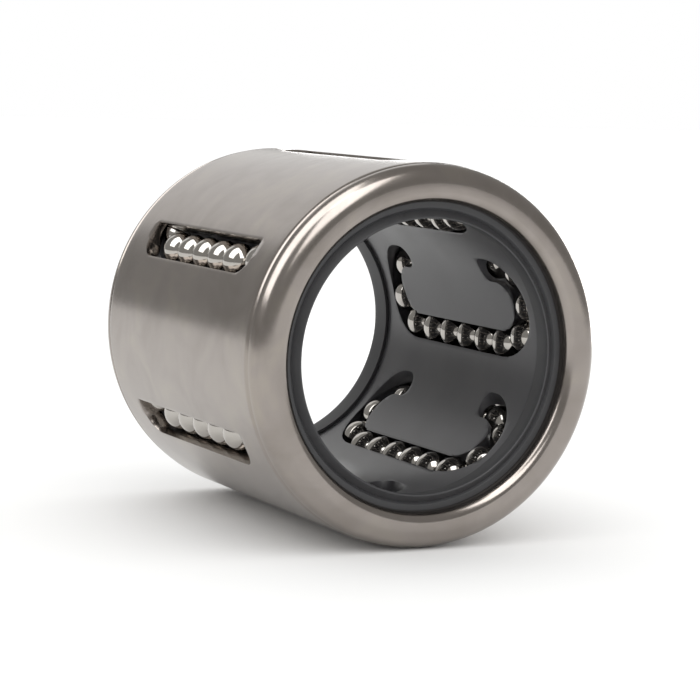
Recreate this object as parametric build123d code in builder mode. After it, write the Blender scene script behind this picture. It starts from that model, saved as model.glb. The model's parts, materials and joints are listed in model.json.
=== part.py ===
from build123d import *
from math import cos, sin, pi, radians
import os

# Linear ball bushing, compact size 20 x 28 x 30 mm, sealed at both ends.
# A drawn steel sleeve holds a moulded cage. In the cage run six endless circuits of steel balls.
# Each circuit has a loaded row, which carries the shaft, and a return row, which rises into a slot
# in the sleeve. A half-circle turn at each end joins the two rows.
# The bushing's axis lies along Y, its front end faces -Y, and the origin is at its centre.

os.makedirs("parts", exist_ok=True)

# ---- driving dimensions, millimetres ----
bore_radius = 10.0  # the shaft is 20 mm
outer_radius = 14.0  # the housing hole is 28 mm
length = 30.0
ball_diameter = 2.778  # 7/64 inch
running_clearance = 0.02  # between a loaded ball and the shaft, and between it and the raceway
circuit_count = 6
row_spacing = 30.0  # degrees between a circuit's return row and its loaded row
row_half_length = 6.9  # from the centre to the end of a straight row
return_row_radius = 12.4
turn_lift = 0.08  # the turns lift the balls this far off the shaft

# ---- worked out from them ----
ball_radius = ball_diameter / 2
loaded_row_radius = bore_radius + running_clearance + ball_radius
raceway_radius = bore_radius + ball_diameter + 2 * running_clearance
wall = outer_radius - raceway_radius
half_length = length / 2

# ---- sleeve ----
seat_half_length = 13.0  # half of the straight outside
shoulder_round = 0.9  # a soft shoulder leads from the straight outside down to the rolled rim
shoulder_turn = 33.0
rim_step = 0.07  # past the shoulder's groove, the rolled rim is this much smaller than the outside
rim_round = 1.4
lip_edge_radius = 11.2  # the lip is rolled inwards to this radius
lip_edge_round = 0.9
lip_middle = lip_edge_radius + lip_edge_round
lip_inside = half_length - wall
inside_corner = 0.5
seam_angle = 7.5  # the sleeve's profile is drawn here, clear of every slot
slot_width = 2.9
slot_half_length = 9.8
slot_corner_round = 1.7  # only on the side away from the loaded row
relief_radius = ball_radius + 0.06  # room for the balls that climb from the raceway into the slot
relief_run_in = 1.0  # how far the relief reaches back over the loaded row

# ---- cage ----
cage_bore_radius = 10.4
cage_outer_radius = raceway_radius - 0.06
cage_half_length = 12.35
channel_radius = ball_radius + 0.12
window_centre = 7.25  # the curled windows are drawn about a point this far along the bushing
window_inner_radius = 1.85
window_outer_radius = 3.75
tongue_half_length = 5.8  # the windows stop here, under the return row
tip_radius = (window_outer_radius - window_inner_radius) / 2
tip_across = (window_outer_radius + window_inner_radius) / 2
tip_along = tongue_half_length + tip_radius
cut_depth = 3.5

# ---- seal ----
seal_outer_radius = raceway_radius - 0.02
seal_face = 13.79  # the flat ring seen inside the lip
seal_face_edge = 10.75
seal_groove_radius = 10.62  # a V groove parts the flat ring from the wiping lip
seal_groove_depth = 0.19
seal_lip_half_length = 14.0
seal_land = 0.5  # length of the land that wipes the shaft
seal_lip_rise = 0.08
seal_relief = 0.15

# ---- balls ----
row_count = 5
turn_count = 3
loaded_pitch = 2.80
return_pitch = 2.85
turn_pitch = 2.90
turn_lead = 0.35  # the turns close up on the loaded row, so the slack gathers at the return row's ends
# how far each circuit has rolled on at rest, in millimetres along its path
circuit_shift = (0.3, 0.5, -0.8, -0.4, 0.1, 0.9)


def axis_plane(angle, radius):
    """Plane square to the radius at an angle from +Z, clockwise seen from the front; local y is +Y."""
    outward = Vector(sin(radians(angle)), 0, cos(radians(angle)))
    sideways = Vector(cos(radians(angle)), 0, -sin(radians(angle)))
    return Plane(origin=outward * radius, x_dir=sideways, z_dir=outward)


def row_centre(angle, radius):
    """Middle of a straight row of balls."""
    return Vector(radius * sin(radians(angle)), 0, radius * cos(radians(angle)))


def return_angle(circuit):
    """Angle of a circuit's return row."""
    return 360 / circuit_count * circuit


def circuit_plane(circuit):
    """Plane that holds both turns and the return row: local x points at the loaded row, local y is +Y."""
    loaded = row_centre(return_angle(circuit) + row_spacing, loaded_row_radius + turn_lift)
    returning = row_centre(return_angle(circuit), return_row_radius)
    towards_loaded = (loaded - returning).normalized()
    outward = towards_loaded.cross(Vector(0, 1, 0))
    return Plane(origin=(loaded + returning) / 2, x_dir=towards_loaded, z_dir=outward)


first_turn_end = row_centre(row_spacing, loaded_row_radius + turn_lift)
turn_radius = (first_turn_end - row_centre(0, return_row_radius)).length / 2
turn_length = pi * turn_radius
path_length = 2 * turn_length + 4 * row_half_length
spans = (row_count - 1) * (loaded_pitch + return_pitch) + 2 * (turn_count - 1) * turn_pitch
handover_gap = (path_length - spans) / 4


def ball_tube(circuit, tube_radius, loaded_run):
    """Round cutter along a circuit's path; loaded_run is how far it reaches along the loaded row."""
    r = turn_radius
    h = row_half_length
    with BuildPart() as tube:
        with BuildLine(circuit_plane(circuit)) as path:
            Line((r, h - loaded_run), (r, h))
            ThreePointArc((r, h), (0, h + r), (-r, h))
            Line((-r, h), (-r, -h))
            ThreePointArc((-r, -h), (0, -h - r), (r, -h))
            Line((r, -h), (r, loaded_run - h))
        with BuildSketch(Plane(origin=path.line @ 0, z_dir=path.line % 0)):
            Circle(tube_radius)
        sweep(path=path.line)
    return tube.part


def racetrack(half_width):
    """Add a band that follows the ball path to the sketch in work."""
    outside = turn_radius + half_width
    inside = turn_radius - half_width
    SlotOverall(2 * (row_half_length + outside), 2 * outside, rotation=90)
    SlotOverall(2 * (row_half_length + inside), 2 * inside, rotation=90, mode=Mode.SUBTRACT)


def curled_window(end):
    """Sketch a window from the loaded row round to the tongue: end is -1 in front and 1 at the rear."""
    with BuildSketch() as window:
        with Locations((0, end * window_centre)):
            Circle(window_outer_radius)
            Circle(window_inner_radius, mode=Mode.SUBTRACT)
        with Locations((0, end * (window_centre - window_outer_radius / 2))):
            Rectangle(2 * window_outer_radius, window_outer_radius, mode=Mode.SUBTRACT)
        with Locations((-tip_across, end * (tip_along + window_centre) / 2)):
            Rectangle(2 * tip_radius, window_centre - tip_along)
        with Locations((-tip_across, end * tip_along)):
            Circle(tip_radius)
    return window.sketch


# ---- outer sleeve: a drawn tube with both lips rolled in, and one slot over each return row ----
reliefs = [ball_tube(circuit, relief_radius, relief_run_in) for circuit in range(circuit_count)]
rim_radius = outer_radius - rim_step
seam_way = Vector(sin(radians(seam_angle)), 0, cos(radians(seam_angle)))
with BuildPart() as outer_sleeve:
    with BuildSketch(Plane((0, 0, 0), x_dir=seam_way, z_dir=seam_way.cross(Vector(0, 1, 0)))):
        with BuildLine():
            Polyline(
                (raceway_radius, lip_inside - inside_corner),
                (raceway_radius, 0),
                (outer_radius, 0),
                (outer_radius, seat_half_length),
            )
            shoulder_middle = (outer_radius - shoulder_round, seat_half_length)
            shoulder = CenterArc(shoulder_middle, shoulder_round, 0, shoulder_turn)
            Line(shoulder @ 1, (rim_radius, half_length - rim_round))
            CenterArc((rim_radius - rim_round, half_length - rim_round), rim_round, 0, 90)
            Line((rim_radius - rim_round, half_length), (lip_middle, half_length))
            CenterArc((lip_middle, half_length - lip_edge_round), lip_edge_round, 90, 90)
            Polyline(
                (lip_edge_radius, half_length - lip_edge_round),
                (lip_edge_radius, lip_inside),
                (raceway_radius - inside_corner, lip_inside),
            )
            CenterArc((raceway_radius - inside_corner, lip_inside - inside_corner), inside_corner, 0, 90)
        make_face()
    revolve(axis=Axis.Y)
    mirror(about=Plane.XZ)
    for circuit in range(circuit_count):
        with BuildSketch(axis_plane(return_angle(circuit), cage_bore_radius)) as slot:
            Rectangle(slot_width, 2 * slot_half_length)
            fillet(slot.vertices().group_by(Axis.X)[0], slot_corner_round)
        extrude(amount=outer_radius, mode=Mode.SUBTRACT)
        add(reliefs[circuit], mode=Mode.SUBTRACT)
outer_sleeve.part.label = "outer_sleeve"
export_step(outer_sleeve.part, "parts/outer_sleeve.step")

# ---- ball cage: a tube with six racetrack channels, open outwards and partly open to the bore ----
ball_channels = [ball_tube(circuit, channel_radius, row_half_length) for circuit in range(circuit_count)]
with BuildPart() as ball_cage:
    with BuildSketch(Plane.XZ):
        Circle(cage_outer_radius)
        Circle(cage_bore_radius, mode=Mode.SUBTRACT)
    extrude(amount=cage_half_length, both=True)
    for circuit in range(circuit_count):
        add(ball_channels[circuit], mode=Mode.SUBTRACT)
        # the channel opens outwards, so that the balls can be dropped in
        with BuildSketch(circuit_plane(circuit)):
            racetrack(channel_radius)
        extrude(amount=cut_depth, mode=Mode.SUBTRACT)
        # at each end a window curls from the loaded row to the tongue under the return row
        with BuildSketch(circuit_plane(circuit)):
            add(curled_window(-1))
            add(curled_window(1))
        extrude(amount=-cut_depth, mode=Mode.SUBTRACT)
ball_cage.part.label = "ball_cage"
export_step(ball_cage.part, "parts/ball_cage.step")


# ---- seals: a rubber ring behind each lip, with a V groove and a forward lip that wipes the shaft ----
def seal_ring(front):
    """A seal for the front end, or its mirror image for the rear end."""
    with BuildPart() as ring:
        with BuildSketch(Plane.XY):
            with BuildLine():
                Polyline(
                    (bore_radius + seal_relief, -cage_half_length),
                    (seal_outer_radius, -cage_half_length),
                    (seal_outer_radius, inside_corner - lip_inside),
                    (raceway_radius - inside_corner, -lip_inside),
                    (lip_edge_radius + seal_relief, -lip_inside),
                    (lip_edge_radius, -seal_face),
                    (seal_face_edge, -seal_face),
                    (seal_groove_radius, seal_groove_depth - seal_face),
                    (bore_radius + seal_relief, -seal_lip_half_length - seal_lip_rise),
                    (bore_radius + seal_relief / 3, -seal_lip_half_length - seal_lip_rise),
                    (bore_radius, -seal_lip_half_length),
                    (bore_radius, seal_land - seal_lip_half_length),
                    close=True,
                )
            make_face()
        revolve(axis=Axis.Y)
        if not front:
            mirror(about=Plane.XZ, mode=Mode.REPLACE)
    return ring.part


for name, front in (("front_seal", True), ("rear_seal", False)):
    seal = seal_ring(front)
    seal.label = name
    export_step(seal, f"parts/{name}.step")


# ---- balls: four groups in each circuit, two straight rows and two turns ----
def balls_at(places, name):
    """One group of balls, written as its own file."""
    with BuildPart() as balls:
        with Locations(*places):
            Sphere(ball_radius)
    balls.part.label = name
    export_step(balls.part, f"parts/{name}.step")


def row_places(middle, forward, pitch):
    """Ball centres of a straight row whose middle lies this far in front of the bushing's centre."""
    steps = [step - (row_count - 1) / 2 for step in range(row_count)]
    return [middle - Vector(0, forward + step * pitch, 0) for step in steps]


def turn_places(plane, shift, end):
    """Ball centres of a turn: end is -1 in front, where balls leave the loaded row, and 1 at the rear."""
    places = []
    for step in range(turn_count):
        along = turn_length / 2 + (step - (turn_count - 1) / 2) * turn_pitch + end * turn_lead + shift
        angle = along / turn_radius
        across = -end * turn_radius * cos(angle)
        onwards = end * (row_half_length + turn_radius * sin(angle))
        places.append(plane.from_local_coords(Vector(across, onwards, 0)))
    return places


for circuit in range(circuit_count):
    shift = circuit_shift[circuit]
    plane = circuit_plane(circuit)
    loaded = row_centre(return_angle(circuit) + row_spacing, loaded_row_radius)
    returning = row_centre(return_angle(circuit), return_row_radius)
    prefix = f"circuit_{circuit + 1}"
    balls_at(row_places(loaded, shift, loaded_pitch), f"{prefix}_loaded_balls")
    balls_at(row_places(returning, -shift, return_pitch), f"{prefix}_return_balls")
    balls_at(turn_places(plane, shift, -1), f"{prefix}_front_turn_balls")
    balls_at(turn_places(plane, shift, 1), f"{prefix}_rear_turn_balls")

print("turn radius", round(turn_radius, 4), "path", round(path_length, 3), "gap", round(handover_gap, 3))
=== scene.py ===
# %% [markdown]
# # A linear ball bushing for a 20 mm shaft
# A steel sleeve holds a plastic cage, and six endless rings of steel balls run in the cage.
# This lesson keeps the sizes of the engineering model and remakes each piece with a clean mesh
# and a finish of its own. The axis lies along Y, and the front end faces -Y.

# %% Load the frame
import json
from math import cos, pi, radians, sin

import bpy
from mathutils import Matrix, Vector


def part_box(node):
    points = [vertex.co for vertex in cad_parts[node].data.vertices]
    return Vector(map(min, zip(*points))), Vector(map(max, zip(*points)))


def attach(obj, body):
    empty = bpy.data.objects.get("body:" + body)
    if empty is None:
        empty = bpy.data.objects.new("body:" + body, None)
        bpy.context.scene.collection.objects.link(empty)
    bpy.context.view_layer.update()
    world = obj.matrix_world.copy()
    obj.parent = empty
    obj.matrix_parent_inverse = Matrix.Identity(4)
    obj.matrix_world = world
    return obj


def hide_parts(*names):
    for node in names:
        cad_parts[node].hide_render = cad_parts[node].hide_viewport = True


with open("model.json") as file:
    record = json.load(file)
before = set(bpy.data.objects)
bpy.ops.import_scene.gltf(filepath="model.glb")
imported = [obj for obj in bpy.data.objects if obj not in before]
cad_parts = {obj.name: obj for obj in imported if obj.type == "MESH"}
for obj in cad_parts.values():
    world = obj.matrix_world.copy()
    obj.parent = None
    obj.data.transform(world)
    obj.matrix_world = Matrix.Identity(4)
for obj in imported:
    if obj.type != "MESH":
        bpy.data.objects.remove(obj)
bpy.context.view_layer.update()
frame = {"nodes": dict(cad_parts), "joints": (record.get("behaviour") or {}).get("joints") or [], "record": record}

print("nodes in the frame:", len(frame["nodes"]))

# %% [markdown]
# ## Sizes
# The main sizes are read from the frame, so that a remade piece lands where the engineering model has it.
# Blender works in metres here, and `mm` keeps the small numbers readable.

# %% Sizes from the frame
mm = 0.001
sleeve_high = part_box("outer_sleeve")[1]
cage_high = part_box("ball_cage")[1]

outer_radius = sleeve_high.x
half_length = sleeve_high.y
cage_radius = cage_high.x
cage_half_length = cage_high.y
ball_radius = 2.778 * mm / 2

circuit_count = 6
circuit_step = 2 * pi / circuit_count
joints = {joint["name"]: joint for joint in frame["joints"]}
couplings = {pair["joint"]: pair for pair in frame["record"]["behaviour"]["couplings"]}
first_turn = joints["circuit_1_front_turn_roll"]
turn_radius = 1 / couplings["circuit_1_front_turn_roll"]["ratio"]
row_half_length = -first_turn["pos_m"][1]
print("outside", round(2 * outer_radius / mm, 2), "length", round(2 * half_length / mm, 2),
      "turn radius", round(turn_radius / mm, 3), "mm")

# %% Small sizes that the frame doesn't name
turn_pitch = 2.9 * mm  # from ball to ball round a turn
turn_lead = 0.35 * mm  # how far the turns close up on the loaded row
raceway_radius = 12.818 * mm
seat_half_length = 13.0 * mm
shoulder_round = 0.9 * mm
shoulder_turn = radians(33)
rim_step = 0.07 * mm
rim_round = 1.4 * mm
lip_radius = 11.2 * mm
lip_round = 0.75 * mm
lip_height = 0.95 * mm
inside_corner = 0.5 * mm
slot_width = 2.9 * mm
slot_length = 19.6 * mm
slot_corner = 1.7 * mm
relief_radius = ball_radius + 0.06 * mm
relief_run_in = 1.0 * mm
cage_bore = 10.4 * mm
channel_radius = ball_radius + 0.12 * mm
window_centre = 7.25 * mm
window_inner = 1.85 * mm
window_outer = 3.75 * mm
window_end = 5.8 * mm
cut_depth = 3.5 * mm
wall = outer_radius - raceway_radius

# %% [markdown]
# ## Helpers for working by hand
# These do what a modeller does with the mouse: clear the selection, go into edit mode, pick what lies
# at a certain place, and apply a modifier. Each one is used by several pieces.

# %% Selection and modifiers
def clear_selection():
    """Deselect everything, so that an operator acts only on the new piece."""
    bpy.ops.object.select_all(action="DESELECT")


def make_active(piece):
    """Select one piece alone and make it the active one."""
    clear_selection()
    piece.select_set(True)
    bpy.context.view_layer.objects.active = piece


def select_faces(piece, wanted):
    """In edit mode, select only the faces for which wanted(centre, normal) is true."""
    bpy.ops.mesh.select_mode(type="FACE")
    bpy.ops.mesh.select_all(action="DESELECT")
    bpy.ops.object.mode_set(mode="OBJECT")
    for face in piece.data.polygons:
        face.select = wanted(face.center, face.normal)
    bpy.ops.object.mode_set(mode="EDIT")


def select_edges(piece, wanted):
    """In edit mode, select only the edges for which wanted(end, other end) is true."""
    bpy.ops.mesh.select_mode(type="EDGE")
    bpy.ops.mesh.select_all(action="DESELECT")
    bpy.ops.object.mode_set(mode="OBJECT")
    places = [vertex.co for vertex in piece.data.vertices]
    for edge in piece.data.edges:
        edge.select = wanted(places[edge.vertices[0]], places[edge.vertices[1]])
    bpy.ops.object.mode_set(mode="EDIT")


def apply_modifier(piece, kind, **settings):
    """Add a modifier with these settings and apply it at once."""
    make_active(piece)
    modifier = piece.modifiers.new(kind.title(), kind)
    for name, value in settings.items():
        setattr(modifier, name, value)
    bpy.ops.object.modifier_apply(modifier=modifier.name)


def settle(piece):
    """Put the piece's place into its mesh, so that its object sits at the origin, unturned."""
    make_active(piece)
    bpy.ops.object.transform_apply(location=True, rotation=True, scale=True)


def clean(piece):
    """Merge doubled points and turn every face outwards."""
    make_active(piece)
    bpy.ops.object.mode_set(mode="EDIT")
    bpy.ops.mesh.select_all(action="SELECT")
    bpy.ops.mesh.remove_doubles(threshold=0.002 * mm)
    bpy.ops.mesh.normals_make_consistent(inside=False)
    bpy.ops.object.mode_set(mode="OBJECT")


def turn_mesh(piece, angle):
    """Turn a piece about the bushing's axis, clockwise as seen from the front."""
    make_active(piece)
    piece.data.transform(Matrix.Rotation(angle, 4, "Y"))


def triangles(piece):
    """How many triangles a piece has."""
    return sum(len(face.vertices) - 2 for face in piece.data.polygons)


# %% [markdown]
# ## One sixth at a time
# The sleeve and the cage repeat every 60 degrees. So only one sixth of each is modelled: a profile is
# drawn as a single face and spun through 60 degrees, the slot or the ball channel is cut from that
# sixth, and then the sixth is copied round with a spin that duplicates. That keeps the cuts cheap and
# makes all six alike. The spin operator turns anticlockwise for a positive angle, so angles are negated.

# %% A spun sixth
sector_start = radians(-15)  # the return row is at 0 degrees and the loaded row at 30
sector_steps = 30


def profile_face(name, outline):
    """A flat face from (radius, y) points: a filled circle, with its points pulled into place."""
    clear_selection()
    bpy.ops.mesh.primitive_circle_add(vertices=len(outline), radius=1, fill_type="NGON")
    piece = bpy.context.object
    piece.name = name
    for vertex, (radius, y) in zip(piece.data.vertices, outline):
        vertex.co = Vector((0, y, radius))
    return piece


def spin_sector(piece):
    """Spin a profile face through one sixth of a turn, into a closed wedge."""
    turn_mesh(piece, sector_start)
    bpy.ops.object.mode_set(mode="EDIT")
    bpy.ops.mesh.select_all(action="SELECT")
    bpy.ops.mesh.spin(steps=sector_steps, angle=-circuit_step, center=(0, 0, 0), axis=(0, 1, 0))
    bpy.ops.object.mode_set(mode="OBJECT")
    clean(piece)


def sector_side(angle):
    """A test for the flat faces that close a wedge at this angle."""
    across = Vector((cos(angle), 0, -sin(angle)))

    def wanted(centre, normal):
        return abs(centre.dot(across)) < 0.01 * mm and abs(normal.dot(across)) > 0.999

    return wanted


def ring_from_sector(piece):
    """Open the wedge's two flat sides and copy it round into a whole ring."""
    make_active(piece)
    first, last = sector_side(sector_start), sector_side(sector_start + circuit_step)
    bpy.ops.object.mode_set(mode="EDIT")
    select_faces(piece, lambda centre, normal: first(centre, normal) or last(centre, normal))
    bpy.ops.mesh.delete(type="FACE")
    bpy.ops.mesh.select_all(action="SELECT")
    bpy.ops.mesh.spin(steps=circuit_count - 1, angle=-circuit_step * (circuit_count - 1),
                      center=(0, 0, 0), axis=(0, 1, 0), dupli=True)
    bpy.ops.object.mode_set(mode="OBJECT")
    clean(piece)


def arc_points(centre, radius, start, end, count, height=None):
    """Points on an arc, as (radius, y) pairs, from one angle to another. With a height it is oval."""
    height = height or radius
    angles = [start + (end - start) * step / count for step in range(count + 1)]
    return [(centre[0] + radius * cos(a), centre[1] + height * sin(a)) for a in angles]


def straight(start, end, count):
    """Evenly spaced points between two points, without either end."""
    steps = [step / count for step in range(1, count)]
    return [(start[0] + (end[0] - start[0]) * t, start[1] + (end[1] - start[1]) * t) for t in steps]


def cut(piece, cutter):
    """Cut one piece with another and throw the cutter away."""
    apply_modifier(piece, "BOOLEAN", object=cutter, operation="DIFFERENCE", solver="EXACT")
    bpy.data.objects.remove(cutter)


# %% [markdown]
# ## The ball path
# Each ring of balls runs along a racetrack that lies in one flat, slightly tilted plane: down the
# loaded row, round a half-circle, and back along the return row, which is further from the axis.
# The channel cutter is made as a plumber would bend a tube: a circle, extruded straight, then spun
# round each turn.

# %% The racetrack's plane
# the turn's joint gives the plane: its axis is square to the plane, and its place is the turn's centre
turn_axis = Vector(first_turn["axis"])
towards_loaded = Vector((-turn_axis.z, 0, turn_axis.x))
path_middle = Vector((first_turn["pos_m"][0], 0, first_turn["pos_m"][2]))
path_up = towards_loaded.cross(Vector((0, 1, 0)))
path_plane = Matrix((towards_loaded, Vector((0, 1, 0)), path_up)).transposed().to_4x4()
path_plane.translation = path_middle
turn_steps = 16


def spin_turn(middle_y, angle):
    """Spin the selected faces about a turn's centre; a positive angle goes clockwise, seen from outside."""
    bpy.ops.mesh.spin(steps=turn_steps, angle=angle, center=(0, middle_y, 0), axis=(0, 0, 1))


def pull(distance):
    """Extrude the selected faces along the bushing."""
    bpy.ops.mesh.extrude_region_move(TRANSFORM_OT_translate={"value": (0, distance, 0)})


def follow_track(piece, loaded_run):
    """Sweep a flat face round the track. It starts on the loaded row, loaded_run before the rear turn."""
    make_active(piece)
    start_y = row_half_length - loaded_run
    closes = abs(start_y) < 0.01 * mm  # a whole lap ends where it began, and its two end faces go
    bpy.ops.object.mode_set(mode="EDIT")
    bpy.ops.mesh.select_all(action="SELECT")
    pull(loaded_run)
    spin_turn(row_half_length, -pi)
    pull(-2 * row_half_length)
    spin_turn(-row_half_length, -pi)
    pull(loaded_run)
    if closes:
        select_faces(piece, lambda centre, normal: abs(centre.y) < 0.01 * mm and abs(normal.y) > 0.999
                     and centre.x > 0)
        bpy.ops.mesh.delete(type="FACE")
    bpy.ops.object.mode_set(mode="OBJECT")
    piece.data.transform(path_plane)
    clean(piece)


def round_track_cutter(radius, loaded_run):
    """A tube along the ball path, as a cutter."""
    clear_selection()
    bpy.ops.mesh.primitive_circle_add(vertices=32, radius=radius, fill_type="NGON", rotation=(pi / 2, 0, 0),
                                      location=(turn_radius, row_half_length - loaded_run, 0))
    piece = bpy.context.object
    settle(piece)
    follow_track(piece, loaded_run)
    return piece


# %% [markdown]
# ## The outer sleeve
# The sleeve is a tube of bearing steel, drawn like a cup, with both rims rolled inwards over the
# seals. Its profile is closed: up the outside, over a soft shoulder, round the rim and the lip, and
# back down the raceway. Between the shoulder and the rim runs a fine groove.

# %% The sleeve's profile
outside_steps = 20
raceway_steps = 14
rim_radius = outer_radius - rim_step
lip_inside = half_length - wall

upper_half = [(outer_radius, 0)]
upper_half += straight((outer_radius, 0), (outer_radius, seat_half_length), outside_steps)
shoulder_centre = (outer_radius - shoulder_round, seat_half_length)
upper_half += arc_points(shoulder_centre, shoulder_round, 0, shoulder_turn, 8)
rim_centre = (rim_radius - rim_round, half_length - rim_round)
upper_half += arc_points(rim_centre, rim_round, 0, pi / 2, 16)
lip_centre = (lip_radius + lip_round, half_length - lip_height)
upper_half += arc_points(lip_centre, lip_round, pi / 2, pi, 12, lip_height)
upper_half += [(lip_radius, lip_inside)]
corner_centre = (raceway_radius - inside_corner, lip_inside - inside_corner)
upper_half += arc_points(corner_centre, inside_corner, pi / 2, 0, 4)
upper_half += straight((raceway_radius, lip_inside - inside_corner), (raceway_radius, 0), raceway_steps)
upper_half += [(raceway_radius, 0)]
lower_half = [(radius, -y) for radius, y in reversed(upper_half[1:-1])]

sleeve = profile_face("steel_sleeve", upper_half + lower_half)
spin_sector(sleeve)
print("sleeve wedge:", len(sleeve.data.polygons), "faces")


# %% [markdown]
# The slot is punched, so it has flat ends and crisp edges. Two of its corners are round: the ones on
# the side away from the loaded row, where no ball passes. A cube with two bevelled edges has that shape.
# Under each end of the slot, a relief lets the balls climb from the raceway into the slot.

# %% Punch the slot and cut the relief
clear_selection()
bpy.ops.mesh.primitive_cube_add(size=1, location=(0, 0, outer_radius),
                                scale=(slot_width, slot_length, 2 * cut_depth))
punch = bpy.context.object
settle(punch)
bpy.ops.object.mode_set(mode="EDIT")
select_edges(punch, lambda one, other: one.x < 0 and other.x < 0 and abs(one.z - other.z) > cut_depth)
bpy.ops.mesh.bevel(offset=slot_corner, segments=10, affect="EDGES")
bpy.ops.object.mode_set(mode="OBJECT")
clean(punch)
cut(sleeve, punch)
cut(sleeve, round_track_cutter(relief_radius, relief_run_in))
ring_from_sector(sleeve)
edge_round = 0.1 * mm
apply_modifier(sleeve, "BEVEL", width=edge_round, segments=2, limit_method="ANGLE",
               angle_limit=radians(50))
bpy.ops.object.shade_smooth_by_angle(angle=radians(28))
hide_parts("outer_sleeve")
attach(sleeve, "bushing")
print("sleeve:", triangles(sleeve), "triangles")


# %% [markdown]
# ## The ball cage
# The cage is moulded in dark nylon. Each ball track is a round channel that opens outwards, so that
# the balls can be dropped in, and it breaks through to the bore along the loaded row. At each end a
# window curls from the loaded row to a tongue under the return row.

# %% The cage's tube
cage_outline = [(cage_radius, 0)]
cage_outline += straight((cage_radius, 0), (cage_radius, cage_half_length), 20)
cage_outline += [(cage_radius, cage_half_length), (cage_bore, cage_half_length)]
cage_outline += straight((cage_bore, cage_half_length), (cage_bore, 0), 20)
cage_outline += [(cage_bore, 0)]
cage_lower = [(radius, -y) for radius, y in reversed(cage_outline[1:-1])]
cage = profile_face("nylon_cage", cage_outline + cage_lower)
spin_sector(cage)


# %% The channel, its open back and the two curled windows
def band_cutter():
    """A band as wide as the channel that runs round the track and reaches outwards from it."""
    clear_selection()
    bpy.ops.mesh.primitive_plane_add(size=1, rotation=(pi / 2, 0, 0))
    piece = bpy.context.object
    piece.scale = (2 * channel_radius, cut_depth, 1)
    piece.location = (turn_radius, 0, cut_depth / 2)
    settle(piece)
    follow_track(piece, row_half_length)
    return piece


def window_cutter(end):
    """A curled window at one end: end is 1 at the rear and -1 in front."""
    clear_selection()
    width = window_outer - window_inner
    middle = (-(window_outer + window_inner) / 2, (window_end + window_centre) / 2, -cut_depth / 2)
    bpy.ops.mesh.primitive_cube_add(size=1, location=middle,
                                    scale=(width, window_centre - window_end, cut_depth))
    piece = bpy.context.object
    settle(piece)
    bpy.ops.object.mode_set(mode="EDIT")
    select_edges(piece, lambda one, other: max(one.y, other.y) < window_end + 0.01 * mm
                 and abs(one.z - other.z) > cut_depth / 2)
    tip_round = 0.48 * width  # just under half, so that the tongue's tip is nearly a half circle
    bpy.ops.mesh.bevel(offset=tip_round, segments=8, affect="EDGES")
    select_faces(piece, lambda centre, normal: normal.y > 0.999)
    bpy.ops.mesh.spin(steps=2 * turn_steps, angle=pi, center=(0, window_centre, 0), axis=(0, 0, 1))
    bpy.ops.object.mode_set(mode="OBJECT")
    piece.data.transform(Matrix.Scale(end, 4, Vector((0, 1, 0))))
    piece.data.transform(path_plane)
    clean(piece)
    return piece


cut(cage, round_track_cutter(channel_radius, row_half_length))
cut(cage, band_cutter())
cut(cage, window_cutter(1))
cut(cage, window_cutter(-1))
ring_from_sector(cage)
moulded_round = 0.12 * mm
apply_modifier(cage, "BEVEL", width=moulded_round, segments=2, limit_method="ANGLE",
               angle_limit=radians(40))
bpy.ops.object.shade_smooth_by_angle(angle=radians(35))
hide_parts("ball_cage")
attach(cage, "bushing")
print("cage:", triangles(cage), "triangles")


# %% [markdown]
# ## The seals
# Each seal is a moulded rubber ring behind the rolled lip. A flat ring shows inside the lip, then a V
# groove, then a thin lip that points forwards and wipes the shaft: its land is the bore's narrowest
# place. The rear seal is the same ring, turned end for end.

# %% Two rubber rings
seal_back = cage_half_length
shaft_radius = 10 * mm
seal_relief = 0.15 * mm
wiper_radius = shaft_radius + seal_relief
seal_radius = raceway_radius - 0.02 * mm  # a little play in the raceway
seal_face = 13.79 * mm
face_edge = 10.75 * mm  # the flat ring reaches in to here
edge_radius = 0.06 * mm
groove_floor = (10.62 * mm, 13.6 * mm)
wiper_length = 14.08 * mm
wiper_tip = 0.09 * mm
land_start = 13.5 * mm

seal_outline = [(wiper_radius, seal_back), (seal_radius, seal_back),
                (seal_radius, lip_inside - inside_corner), (raceway_radius - inside_corner, lip_inside),
                (lip_radius + seal_relief, lip_inside), (lip_radius, seal_face)]
edge_centre = (face_edge + edge_radius, seal_face - edge_radius)
seal_outline += arc_points(edge_centre, edge_radius, pi / 2, radians(145), 4)
seal_outline += [groove_floor]
tip_centre = (shaft_radius + wiper_tip, wiper_length - wiper_tip)
seal_outline += arc_points(tip_centre, wiper_tip, radians(45), pi, 8)
seal_outline += [(shaft_radius, land_start)]

for name, end, node in (("front_rubber_seal", -1, "front_seal"), ("rear_rubber_seal", 1, "rear_seal")):
    ordered = seal_outline if end == 1 else list(reversed(seal_outline))
    seal = profile_face(name, [(radius, end * y) for radius, y in ordered])
    spin_sector(seal)
    ring_from_sector(seal)
    bpy.ops.object.shade_smooth_by_angle(angle=radians(30))
    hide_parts(node)
    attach(seal, "bushing")
    print(name, triangles(seal), "triangles")


# %% [markdown]
# ## The balls
# A ball with poles would show them in its reflections, so each ball starts as a cube, is subdivided
# in edit mode and pushed out to a sphere: all its faces are nearly square. One ball is modelled and
# copied to every place in its group. The places come from the joints, so they fit the channels.

# %% One ball
clear_selection()
bpy.ops.mesh.primitive_cube_add(size=2 * ball_radius)
ball = bpy.context.object
bpy.ops.object.mode_set(mode="EDIT")
bpy.ops.mesh.select_all(action="SELECT")
bpy.ops.mesh.subdivide(number_cuts=9)
bpy.ops.transform.tosphere(value=1)
bpy.ops.object.mode_set(mode="OBJECT")
ball.data.transform(Matrix.Scale(ball_radius / ball.data.vertices[0].co.length, 4))
bpy.ops.object.shade_smooth()
ball_size = 2 * ball.data.vertices[-1].co.length
print("one ball:", triangles(ball), "triangles,", round(ball_size / mm, 3), "mm across")


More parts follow.
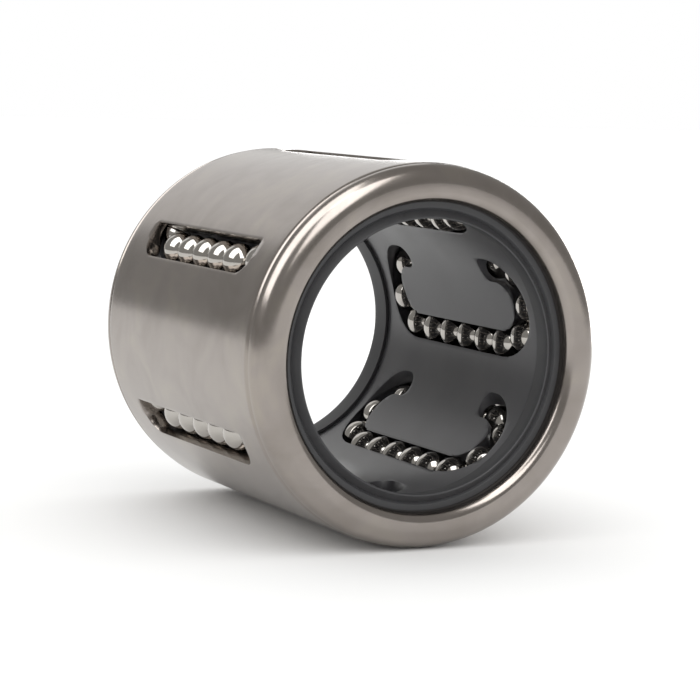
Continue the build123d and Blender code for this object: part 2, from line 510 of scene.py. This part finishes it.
# %% Where the balls lie
def row_places(node):
    """Centres of a straight row of five, read from its node's box."""
    low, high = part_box(node)
    middle = (low + high) / 2
    pitch = (high.y - low.y - 2 * ball_radius) / 4
    return [middle + Vector((0, (step - 2) * pitch, 0)) for step in range(5)]


def turn_places(circuit, end):
    """Centres of a turn's three balls: end is -1 in front and 1 at the rear."""
    low, high = joints[f"circuit_{circuit + 1}_loaded_roll"]["range_m"]
    shift = -(low + high) / 2
    places = []
    for step in (-1, 0, 1):
        angle = pi / 2 + (step * turn_pitch + end * turn_lead + shift) / turn_radius
        across = -end * turn_radius * cos(angle)
        flat = Vector((across, end * (row_half_length + turn_radius * sin(angle)), 0))
        places.append(Matrix.Rotation(circuit_step * circuit, 4, "Y") @ path_plane @ flat)
    return places


def ball_group(name, places, node, body):
    """Copies of the ball at these places, as one piece that rides on one body."""
    clear_selection()
    for place in places:
        copy = ball.copy()
        copy.data = ball.data.copy()
        copy.data.transform(Matrix.Translation(place))
        bpy.context.collection.objects.link(copy)
        copy.select_set(True)
        bpy.context.view_layer.objects.active = copy
    bpy.ops.object.join()
    group = bpy.context.object
    group.name = name
    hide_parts(node)
    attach(group, body)
    return group


def box_middle(piece):
    """The middle of a piece's own box."""
    corners = [vertex.co for vertex in piece.data.vertices]
    return Vector([(max(c[i] for c in corners) + min(c[i] for c in corners)) / 2 for i in range(3)])


# %% Fill the six tracks
ball_groups = []
furthest_off = 0
for circuit in range(circuit_count):
    prefix = f"circuit_{circuit + 1}"
    for part, places in (("loaded", row_places(f"{prefix}_loaded_balls")),
                         ("return", row_places(f"{prefix}_return_balls")),
                         ("front_turn", turn_places(circuit, -1)), ("rear_turn", turn_places(circuit, 1))):
        node = f"{prefix}_{part}_balls"
        group = ball_group(f"{part}_chrome_balls_{circuit + 1}", places, node, f"{prefix}_{part}")
        low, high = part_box(node)
        furthest_off = max(furthest_off, (box_middle(group) - (low + high) / 2).length)
        ball_groups.append(group)
bpy.data.objects.remove(ball)
print("balls in", len(ball_groups), "groups, at most", round(furthest_off / mm, 3), "mm off their nodes")


# %% [markdown]
# ## Finishes
# Each finish starts from what the real surface is. Colours are written as screen hex values and one
# function makes them linear. One small function adds a node, sets its values and links its inputs.

# %% Colour and node helpers
def linear(hex_colour):
    """A screen colour such as 'a09a94' as a linear colour with alpha."""
    screen = [int(hex_colour[i:i + 2], 16) / 255 for i in (0, 2, 4)]
    return tuple(c / 12.92 if c <= 0.04045 else ((c + 0.055) / 1.055) ** 2.4 for c in screen) + (1,)


def add_node(tree, kind, links=None, **settings):
    """Add a node. Settings are its properties or its inputs, and links joins its inputs to outputs."""
    node = tree.nodes.new(kind)
    for name, value in settings.items():
        if hasattr(node, name):
            setattr(node, name, value)
        else:
            node.inputs[name.replace("_", " ")].default_value = value
    for name, output in (links or {}).items():
        tree.links.new(output, node.inputs[name])
    return node


def new_material(name):
    """An empty material with a shader, an output and object coordinates."""
    material = bpy.data.materials.new(name)
    material.use_nodes = True
    tree = material.node_tree
    tree.nodes.clear()
    shader = tree.nodes.new("ShaderNodeBsdfPrincipled")
    output = tree.nodes.new("ShaderNodeOutputMaterial")
    tree.links.new(shader.outputs["BSDF"], output.inputs["Surface"])
    place = tree.nodes.new("ShaderNodeTexCoord").outputs["Object"]
    return material, tree, shader, place


def dress(piece, material):
    """Give a piece one material."""
    piece.data.materials.clear()
    piece.data.materials.append(material)


# %% [markdown]
# ### Ground bearing steel
# The sleeve is case-hardened steel, drawn, tumbled and ground on its outside. The eye reads three
# things: a fine grain of grinding lines that runs round the outside, a cloudy stain left by hardening
# and oil, and tiny pits. The lines are about 0.05 mm apart on the real piece. They are drawn 0.2 mm
# apart, because finer ones wouldn't show. A metal has no base reflection to tune, so its IOR stays.

# %% Sleeve steel
def ground_steel():
    """Satin steel with grinding lines, a cloudy heat stain and fine pits."""
    material, tree, shader, place = new_material("ground_bearing_steel")
    shader.inputs["Metallic"].default_value = 1.0
    line_spacing = 0.2 * mm
    stretched = add_node(tree, "ShaderNodeMapping", {"Vector": place}, Scale=(0.04, 1, 0.04))
    lines = add_node(tree, "ShaderNodeTexNoise", {"Vector": stretched.outputs["Vector"]},
                     Scale=1 / line_spacing, Detail=4.0, Roughness=0.6)
    cloud_size = 5 * mm
    clouds = add_node(tree, "ShaderNodeTexNoise", {"Vector": place}, Scale=1 / cloud_size, Detail=5.0,
                      Roughness=0.62, Distortion=0.6)
    stain = add_node(tree, "ShaderNodeValToRGB", {"Fac": clouds.outputs["Fac"]})
    stain.color_ramp.elements[0].position = 0.30
    stain.color_ramp.elements[0].color = linear("8f8882")
    stain.color_ramp.elements[1].position = 0.70
    stain.color_ramp.elements[1].color = linear("9f9890")
    oil_stain = stain.color_ramp.elements.new(0.52)
    oil_stain.color = linear("98918c")
    tree.links.new(stain.outputs["Color"], shader.inputs["Base Color"])
    shine = add_node(tree, "ShaderNodeMapRange", {"Value": lines.outputs["Fac"]})
    shine.inputs["To Min"].default_value = 0.15
    shine.inputs["To Max"].default_value = 0.26
    tree.links.new(shine.outputs["Result"], shader.inputs["Roughness"])
    pit_size = 0.35 * mm
    pits = add_node(tree, "ShaderNodeTexNoise", {"Vector": place}, Scale=1 / pit_size, Detail=3.0)
    relief = add_node(tree, "ShaderNodeMix", {"A": lines.outputs["Fac"], "B": pits.outputs["Fac"]})
    relief.inputs["Factor"].default_value = 0.5
    bump = add_node(tree, "ShaderNodeBump", {"Height": relief.outputs["Result"]}, Strength=0.22,
                    Distance=0.01 * mm)
    tree.links.new(bump.outputs["Normal"], shader.inputs["Normal"])
    return material


dress(sleeve, ground_steel())


# %% [markdown]
# ### Polished ball steel
# The balls are chrome steel, lapped to a mirror. All they show is the dark cage, the light, and a
# faint haze of oil that softens the reflection in patches.

# %% Ball steel
def lapped_steel():
    """Mirror steel with a faint haze of oil."""
    material, tree, shader, place = new_material("lapped_chrome_steel")
    shader.inputs["Metallic"].default_value = 1.0
    haze_size = 1.2 * mm
    haze = add_node(tree, "ShaderNodeTexNoise", {"Vector": place}, Scale=1 / haze_size, Detail=2.0)
    tone = add_node(tree, "ShaderNodeValToRGB", {"Fac": haze.outputs["Fac"]})
    tone.color_ramp.elements[0].color = linear("aaa6a0")
    tone.color_ramp.elements[1].color = linear("b8b4af")
    tree.links.new(tone.outputs["Color"], shader.inputs["Base Color"])
    shine = add_node(tree, "ShaderNodeMapRange", {"Value": haze.outputs["Fac"]})
    shine.inputs["To Min"].default_value = 0.05
    shine.inputs["To Max"].default_value = 0.13
    tree.links.new(shine.outputs["Result"], shader.inputs["Roughness"])
    return material


mirror_steel = lapped_steel()
for group in ball_groups:
    dress(group, mirror_steel)


# %% [markdown]
# ### Moulded nylon
# The cage is glass-filled nylon from a spark-eroded mould: dark grey, satin, with a soft sheen where
# oil has been wiped over it, and a very fine orange-peel grain.

# %% Cage nylon
def moulded_nylon():
    """Dark satin plastic with a fine mould grain and an oily sheen in patches."""
    material, tree, shader, place = new_material("moulded_nylon")
    shader.inputs["IOR"].default_value = 1.53
    grain_size = 0.12 * mm
    grain = add_node(tree, "ShaderNodeTexNoise", {"Vector": place}, Scale=1 / grain_size, Detail=2.0)
    film_size = 4 * mm
    film = add_node(tree, "ShaderNodeTexNoise", {"Vector": place}, Scale=1 / film_size, Detail=3.0)
    tone = add_node(tree, "ShaderNodeValToRGB", {"Fac": film.outputs["Fac"]})
    tone.color_ramp.elements[0].position = 0.3
    tone.color_ramp.elements[0].color = linear("444447")
    tone.color_ramp.elements[1].position = 0.7
    tone.color_ramp.elements[1].color = linear("504f51")
    tree.links.new(tone.outputs["Color"], shader.inputs["Base Color"])
    shine = add_node(tree, "ShaderNodeMapRange", {"Value": film.outputs["Fac"]})
    shine.inputs["To Min"].default_value = 0.26
    shine.inputs["To Max"].default_value = 0.42
    tree.links.new(shine.outputs["Result"], shader.inputs["Roughness"])
    bump = add_node(tree, "ShaderNodeBump", {"Height": grain.outputs["Fac"]}, Strength=0.15,
                    Distance=0.01 * mm)
    tree.links.new(bump.outputs["Normal"], shader.inputs["Normal"])
    return material


dress(cage, moulded_nylon())


# %% [markdown]
# ### Nitrile rubber
# The seals are black nitrile rubber, moulded matt, with a bloom that greys it slightly.

# %% Seal rubber
def nitrile_rubber():
    """Near-black matt rubber with a faint grey bloom."""
    material, tree, shader, place = new_material("nitrile_rubber")
    shader.inputs["IOR"].default_value = 1.52
    bloom_size = 1.5 * mm
    bloom = add_node(tree, "ShaderNodeTexNoise", {"Vector": place}, Scale=1 / bloom_size, Detail=4.0)
    tone = add_node(tree, "ShaderNodeValToRGB", {"Fac": bloom.outputs["Fac"]})
    tone.color_ramp.elements[0].color = linear("363638")
    tone.color_ramp.elements[1].color = linear("424244")
    tree.links.new(tone.outputs["Color"], shader.inputs["Base Color"])
    shine = add_node(tree, "ShaderNodeMapRange", {"Value": bloom.outputs["Fac"]})
    shine.inputs["To Min"].default_value = 0.45
    shine.inputs["To Max"].default_value = 0.62
    tree.links.new(shine.outputs["Result"], shader.inputs["Roughness"])
    bump = add_node(tree, "ShaderNodeBump", {"Height": bloom.outputs["Fac"]}, Strength=0.1,
                    Distance=0.01 * mm)
    tree.links.new(bump.outputs["Normal"], shader.inputs["Normal"])
    return material


rubber = nitrile_rubber()
for name in ("front_rubber_seal", "rear_rubber_seal"):
    dress(bpy.data.objects[name], rubber)


# %% [markdown]
# ## Studio
# The bushing lies on a white floor with white behind it. Steel shows only what it mirrors, so the
# lights matter more than the steel's own colour. Two tall panels stand high at the left front with a
# gap between them, and every ball shows the pair. A low one at the right rear brightens the rim, and
# a broad one behind lights the top of the sleeve down to a sharp line.

# %% Floor and surroundings
floor_size = 3.0
clear_selection()
bpy.ops.mesh.primitive_plane_add(size=floor_size, location=(0, 0, -outer_radius))
floor = bpy.context.object
floor.name = "studio_floor"
floor_paint, _, shader, _ = new_material("white_paper")
shader.inputs["Base Color"].default_value = linear("fbfbfa")
shader.inputs["Roughness"].default_value = 0.9
dress(floor, floor_paint)

world = bpy.data.worlds.new("white_studio")
bpy.context.scene.world = world
world.use_nodes = True
tree = world.node_tree
tree.nodes.clear()
# the camera sees white, glossy rays see a grey room, and all else gets a soft, even light
ray = tree.nodes.new("ShaderNodeLightPath")
even = add_node(tree, "ShaderNodeBackground", Color=(1, 1, 1, 1), Strength=1.18)
room = add_node(tree, "ShaderNodeBackground", Color=linear("a8a7a5"), Strength=1.0)
white = add_node(tree, "ShaderNodeBackground", Color=(1, 1, 1, 1), Strength=1.0)
first_mix = add_node(tree, "ShaderNodeMixShader", {"Fac": ray.outputs["Is Glossy Ray"]})
tree.links.new(even.outputs[0], first_mix.inputs[1])
tree.links.new(room.outputs[0], first_mix.inputs[2])
second_mix = add_node(tree, "ShaderNodeMixShader", {"Fac": ray.outputs["Is Camera Ray"]})
tree.links.new(first_mix.outputs[0], second_mix.inputs[1])
tree.links.new(white.outputs[0], second_mix.inputs[2])
world_output = tree.nodes.new("ShaderNodeOutputWorld")
tree.links.new(second_mix.outputs[0], world_output.inputs["Surface"])
bpy.context.scene.view_settings.view_transform = "Standard"


# %% Soft panels
def soft_panel(name, azimuth, elevation, distance, width, height, brightness):
    """A soft rectangular light that looks at the bushing. Azimuth is in degrees from +Y towards +X."""
    light = bpy.data.lights.new(name, "AREA")
    light.shape = "RECTANGLE"
    light.size = width
    light.size_y = height
    light.energy = brightness * pi * width * height
    panel = bpy.data.objects.new(name, light)
    flat = cos(radians(elevation))
    way = Vector((sin(radians(azimuth)) * flat, cos(radians(azimuth)) * flat, sin(radians(elevation))))
    panel.location = way * distance
    panel.rotation_euler = (-way).to_track_quat("-Z", "Y").to_euler()
    panel.visible_camera = False
    panel.visible_diffuse = False  # it is only mirrored, and the even light does the rest
    bpy.context.collection.objects.link(panel)
    print(name, "at", [round(value, 2) for value in panel.location])
    return panel


soft_panel("front_panel", 193, 52, 0.4, 0.23, 0.34, 3.4)
soft_panel("left_panel", 276, 54, 0.4, 0.29, 0.50, 3.4)
soft_panel("right_panel", 48, 4, 0.15, 0.14, 0.045, 4.2)
soft_panel("back_panel", 8, 26, 0.5, 0.38, 0.30, 0.6)

# %% [markdown]
# ## Camera
# The camera looks at the front end from the left, slightly from above, with a long lens, and it leans
# a little to one side.

# %% Camera
camera_azimuth = radians(26.46)
camera_elevation = radians(6.256)
camera_lean = radians(1.719)
camera_distance = 190.31 * mm
look_at = Vector((0.55, -0.40, -1.0)) * mm
lens = 127.05

ahead = Vector((sin(camera_azimuth) * cos(camera_elevation), cos(camera_azimuth) * cos(camera_elevation),
                -sin(camera_elevation)))
camera_data = bpy.data.cameras.new("camera")
camera_data.lens = lens
camera_data.sensor_width = 36
camera_data.clip_start = 0.01
camera = bpy.data.objects.new("camera", camera_data)
bpy.context.collection.objects.link(camera)
turned = ahead.to_track_quat("-Z", "Y").to_matrix() @ Matrix.Rotation(camera_lean, 3, "Z")
camera.matrix_world = Matrix.Translation(look_at - ahead * camera_distance) @ turned.to_4x4()
bpy.context.scene.camera = camera
print("camera at", [round(value / mm, 1) for value in camera.location], "mm")
